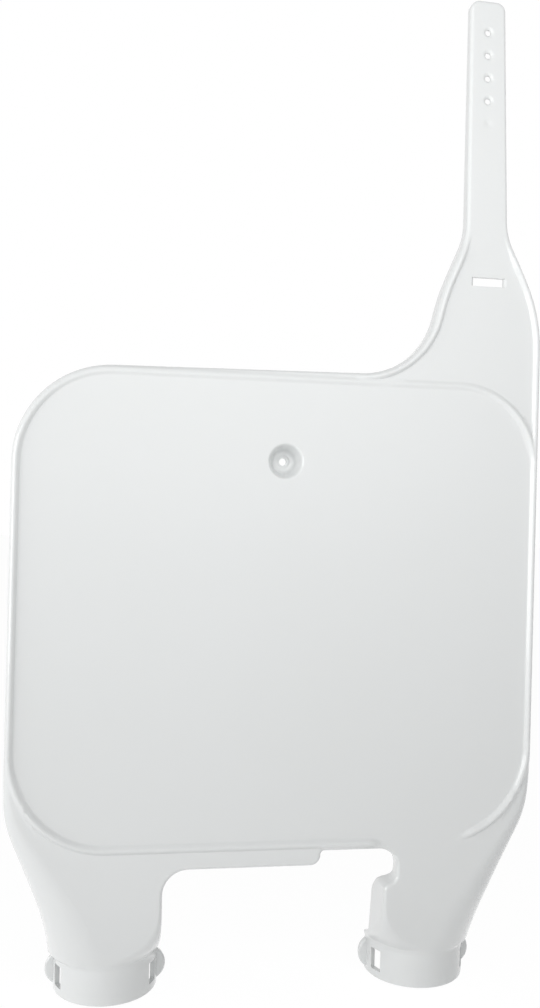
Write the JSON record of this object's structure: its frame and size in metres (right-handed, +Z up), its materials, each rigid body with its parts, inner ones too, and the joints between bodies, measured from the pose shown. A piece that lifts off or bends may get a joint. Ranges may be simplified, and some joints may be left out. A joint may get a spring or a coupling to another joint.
{
  "type": "racing number board",
  "caption": "Front number board of an off-road motorcycle: a raised-edge panel with a handlebar strap at one side and two legs that end in fork tube saddles.",
  "frame": {"origin": "middle of the screw hole's wall, in the floor of the cup at the middle of the panel's upper part", "axes": "+Z up along the panel and the strap, -Y out of the front face towards the viewer, +X to the viewer's right"},
  "size_m": [0.2566, 0.0356, 0.4925],
  "materials": {
    "white_plastic": "glossy"
  },
  "bodies": {
    "root": {"number_board": "white_plastic"}
  },
  "joints": []
}
